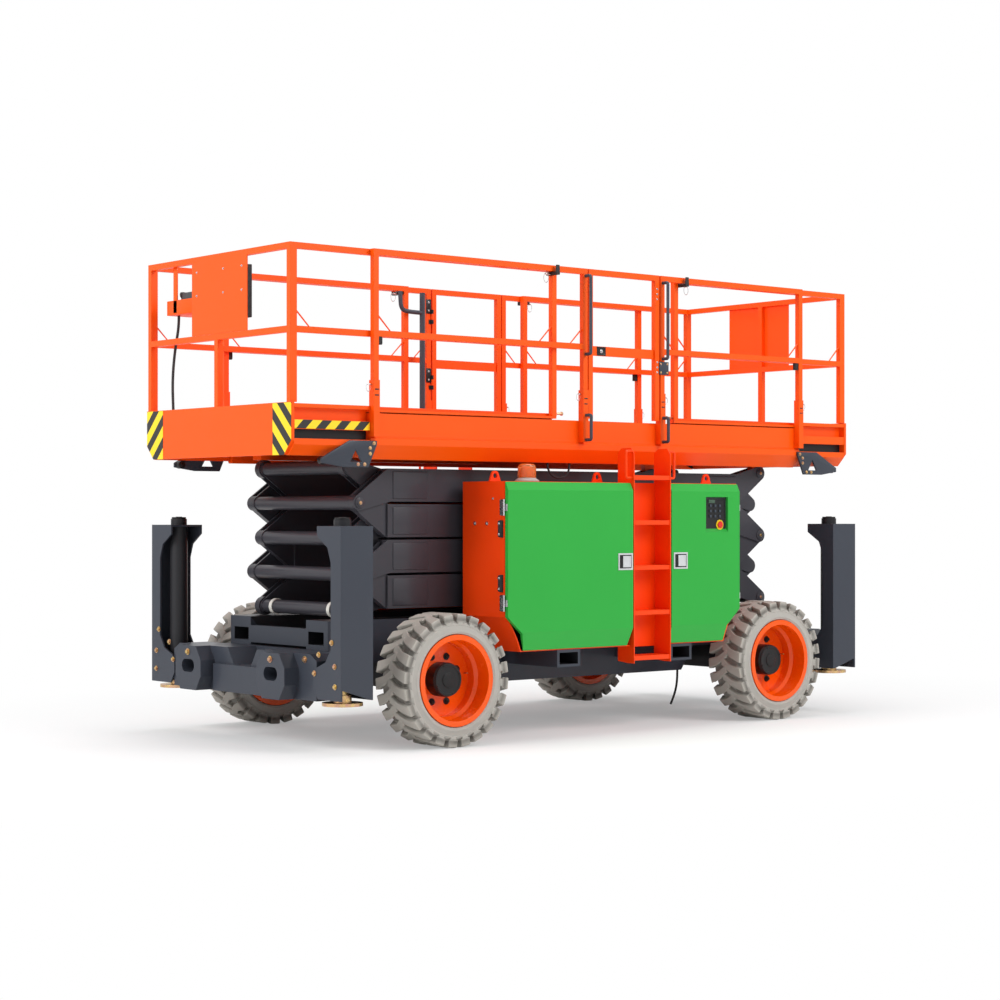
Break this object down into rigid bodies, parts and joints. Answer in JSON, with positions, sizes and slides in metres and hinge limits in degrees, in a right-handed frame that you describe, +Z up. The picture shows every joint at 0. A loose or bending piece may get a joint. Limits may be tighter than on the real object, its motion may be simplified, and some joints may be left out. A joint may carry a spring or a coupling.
{
  "type": "scissor lift",
  "caption": "Self-propelled rough-terrain scissor lift with a railed platform, two sliding extension decks, levelling jacks and side hoods.",
  "frame": {"origin": "on the ground, midway between the axles on the centre line", "axes": "+X along the length, away from the steered axle; +Y towards the side away from the viewer; +Z up"},
  "size_m": [5, 2.3, 3.105],
  "materials": {
    "orange_paint": "gloss",
    "green_paint": "gloss",
    "dark_steel": "satin",
    "black_steel": "satin",
    "tyre_rubber": "matte",
    "zinc_steel": "satin",
    "chrome_rod": "polished",
    "grey_plastic": "matte",
    "amber_lens": "gloss",
    "battery_case": "matte"
  },
  "bodies": {
    "chassis": {"chassis_frame": "dark_steel", "front_axle": "dark_steel", "rear_axle": "dark_steel", "outrigger_beams": "dark_steel", "outrigger_columns": "dark_steel", "jack_tubes": "black_steel", "hoods": "orange_paint", "ladders": "orange_paint", "battery_packs": "battery_case", "beacon": "amber_lens"},
    "knuckle_left": {"knuckle_front_left": "dark_steel"},
    "knuckle_right": {"knuckle_front_right": "dark_steel"},
    "platform": {"main_deck": "orange_paint", "main_rails": "orange_paint"},
    "gate_near": {"gate_near": "orange_paint"},
    "gate_far": {"gate_far": "orange_paint"},
    "extension_left": {"extension_deck_left": "orange_paint", "extension_rails_left": "orange_paint", "control_box": "grey_plastic"},
    "extension_right": {"extension_deck_right": "orange_paint", "extension_rails_right": "orange_paint"},
    "door_near_left": {"door_near_left": "green_paint"},
    "door_near_right": {"door_near_right": "green_paint", "ground_control": "grey_plastic"},
    "door_far_left": {"door_far_left": "green_paint"},
    "door_far_right": {"door_far_right": "green_paint"},
    "wheel_front_left": {"tyre_front_left": "tyre_rubber", "wheel_front_left": "orange_paint"},
    "jack_front_left": {"jack_front_left": "zinc_steel"},
    "wheel_front_right": {"tyre_front_right": "tyre_rubber", "wheel_front_right": "orange_paint"},
    "jack_front_right": {"jack_front_right": "zinc_steel"},
    "wheel_rear_left": {"tyre_rear_left": "tyre_rubber", "wheel_rear_left": "orange_paint"},
    "jack_rear_left": {"jack_rear_left": "zinc_steel"},
    "wheel_rear_right": {"tyre_rear_right": "tyre_rubber", "wheel_rear_right": "orange_paint"},
    "jack_rear_right": {"jack_rear_right": "zinc_steel"},
    "outer_1": {"outer_arms_1": "black_steel"},
    "inner_1": {"inner_arms_1": "black_steel"},
    "outer_2": {"outer_arms_2": "black_steel"},
    "inner_2": {"inner_arms_2": "black_steel"},
    "outer_3": {"outer_arms_3": "black_steel"},
    "inner_3": {"inner_arms_3": "black_steel"},
    "outer_4": {"outer_arms_4": "black_steel"},
    "inner_4": {"inner_arms_4": "black_steel"},
    "lift_barrel_lower": {"lift_barrel_lower": "black_steel"},
    "lift_rod_lower": {"lift_rod_lower": "chrome_rod"},
    "lift_barrel_upper": {"lift_barrel_upper": "black_steel"},
    "lift_rod_upper": {"lift_rod_upper": "chrome_rod"}
  },
  "joints": [
    {"name": "steer_left", "type": "hinge", "parent": "chassis", "child": "knuckle_left", "pos_m": [-1.46, -0.79, 0.419], "axis": [0, 0, 1], "range_deg": [-30, 30]},
    {"name": "steer_right", "type": "hinge", "parent": "chassis", "child": "knuckle_right", "pos_m": [-1.46, 0.79, 0.419], "axis": [0, 0, 1], "range_deg": [-30, 30]},
    {"name": "spin_front_left", "type": "hinge", "parent": "knuckle_left", "child": "wheel_front_left", "pos_m": [-1.46, -1, 0.419], "axis": [0, 1, 0], "continuous": true},
    {"name": "jack_slide_front_left", "type": "slide", "parent": "chassis", "child": "jack_front_left", "axis": [0, 0, -1], "range_m": [0, 0.55]},
    {"name": "spin_front_right", "type": "hinge", "parent": "knuckle_right", "child": "wheel_front_right", "pos_m": [-1.46, 1, 0.419], "axis": [0, 1, 0], "continuous": true},
    {"name": "jack_slide_front_right", "type": "slide", "parent": "chassis", "child": "jack_front_right", "axis": [0, 0, -1], "range_m": [0, 0.55]},
    {"name": "spin_rear_left", "type": "hinge", "parent": "chassis", "child": "wheel_rear_left", "pos_m": [1.46, -1, 0.419], "axis": [0, 1, 0], "continuous": true},
    {"name": "jack_slide_rear_left", "type": "slide", "parent": "chassis", "child": "jack_rear_left", "axis": [0, 0, -1], "range_m": [0, 0.55]},
    {"name": "spin_rear_right", "type": "hinge", "parent": "chassis", "child": "wheel_rear_right", "pos_m": [1.46, 1, 0.419], "axis": [0, 1, 0], "continuous": true},
    {"name": "jack_slide_rear_right", "type": "slide", "parent": "chassis", "child": "jack_rear_right", "axis": [0, 0, -1], "range_m": [0, 0.55]},
    {"name": "lift", "type": "hinge", "parent": "chassis", "child": "outer_1", "pos_m": [1.82, 0, 0.845], "axis": [0, 1, 0], "range_deg": [0, 52]},
    {"name": "cross_1", "type": "hinge", "parent": "outer_1", "child": "inner_1", "pos_m": [0, 0, 0.959], "axis": [0, -1, 0], "range_deg": [0, 104]},
    {"name": "fold_1", "type": "hinge", "parent": "outer_1", "child": "outer_2", "pos_m": [-1.82, 0, 1.073], "axis": [0, -1, 0], "range_deg": [0, 104]},
    {"name": "cross_2", "type": "hinge", "parent": "outer_2", "child": "inner_2", "pos_m": [0, 0, 1.187], "axis": [0, 1, 0], "range_deg": [0, 104]},
    {"name": "fold_2", "type": "hinge", "parent": "outer_2", "child": "outer_3", "pos_m": [1.82, 0, 1.301], "axis": [0, 1, 0], "range_deg": [0, 104]},
    {"name": "cross_3", "type": "hinge", "parent": "outer_3", "child": "inner_3", "pos_m": [0, 0, 1.415], "axis": [0, -1, 0], "range_deg": [0, 104]},
    {"name": "fold_3", "type": "hinge", "parent": "outer_3", "child": "outer_4", "pos_m": [-1.82, 0, 1.529], "axis": [0, -1, 0], "range_deg": [0, 104]},
    {"name": "cross_4", "type": "hinge", "parent": "outer_4", "child": "inner_4", "pos_m": [0, 0, 1.643], "axis": [0, 1, 0], "range_deg": [0, 104]},
    {"name": "platform_level", "type": "hinge", "parent": "outer_4", "child": "platform", "pos_m": [1.82, 0, 1.757], "axis": [0, 1, 0], "range_deg": [0, 52]},
    {"name": "barrel_lower", "type": "hinge", "parent": "inner_1", "child": "lift_barrel_lower", "pos_m": [-0.67112, 0, 0.91696], "axis": [0, -1, 0], "range_deg": [0, 9.11]},
    {"name": "rod_lower", "type": "slide", "parent": "lift_barrel_lower", "child": "lift_rod_lower", "axis": [0.995, 0, 0.0997], "range_m": [0, 0.83109]},
    {"name": "barrel_upper", "type": "hinge", "parent": "inner_3", "child": "lift_barrel_upper", "pos_m": [-0.67112, 0, 1.37296], "axis": [0, -1, 0], "range_deg": [0, 9.11]},
    {"name": "rod_upper", "type": "slide", "parent": "lift_barrel_upper", "child": "lift_rod_upper", "axis": [0.995, 0, 0.0997], "range_m": [0, 0.83109]},
    {"name": "extend_left", "type": "slide", "parent": "platform", "child": "extension_left", "axis": [-1, 0, 0], "range_m": [0, 1.2]},
    {"name": "extend_right", "type": "slide", "parent": "platform", "child": "extension_right", "axis": [1, 0, 0], "range_m": [0, 0.9]},
    {"name": "gate_near_swing", "type": "hinge", "parent": "platform", "child": "gate_near", "pos_m": [0.545, -0.829, 2.6], "axis": [0, 0, -1], "range_deg": [0, 90]},
    {"name": "gate_far_swing", "type": "hinge", "parent": "platform", "child": "gate_far", "pos_m": [-0.121, 0.829, 2.6], "axis": [0, 0, -1], "range_deg": [0, 90]},
    {"name": "door_near_left_swing", "type": "hinge", "parent": "chassis", "child": "door_near_left", "pos_m": [-1.06, -1.121, 1.1], "axis": [0, 0, -1], "range_deg": [0, 95]},
    {"name": "door_near_right_swing", "type": "hinge", "parent": "chassis", "child": "door_near_right", "pos_m": [1.06, -1.121, 1.1], "axis": [0, 0, 1], "range_deg": [0, 95]},
    {"name": "door_far_left_swing", "type": "hinge", "parent": "chassis", "child": "door_far_left", "pos_m": [-1.06, 1.121, 1.1], "axis": [0, 0, 1], "range_deg": [0, 95]},
    {"name": "door_far_right_swing", "type": "hinge", "parent": "chassis", "child": "door_far_right", "pos_m": [1.06, 1.121, 1.1], "axis": [0, 0, -1], "range_deg": [0, 95]}
  ],
  "couplings": [
    {"joint": "steer_right", "follows": "steer_left", "ratio": 1},
    {"joint": "cross_1", "follows": "lift", "ratio": 2},
    {"joint": "fold_1", "follows": "lift", "ratio": 2},
    {"joint": "cross_2", "follows": "lift", "ratio": 2},
    {"joint": "fold_2", "follows": "lift", "ratio": 2},
    {"joint": "cross_3", "follows": "lift", "ratio": 2},
    {"joint": "fold_3", "follows": "lift", "ratio": 2},
    {"joint": "cross_4", "follows": "lift", "ratio": 2},
    {"joint": "platform_level", "follows": "lift", "ratio": 1},
    {"joint": "barrel_lower", "follows": "lift", "ratio": 0.17493},
    {"joint": "rod_lower", "follows": "lift", "m_per_rad": 0.91562},
    {"joint": "barrel_upper", "follows": "lift", "ratio": 0.17493},
    {"joint": "rod_upper", "follows": "lift", "m_per_rad": 0.91562}
  ]
}
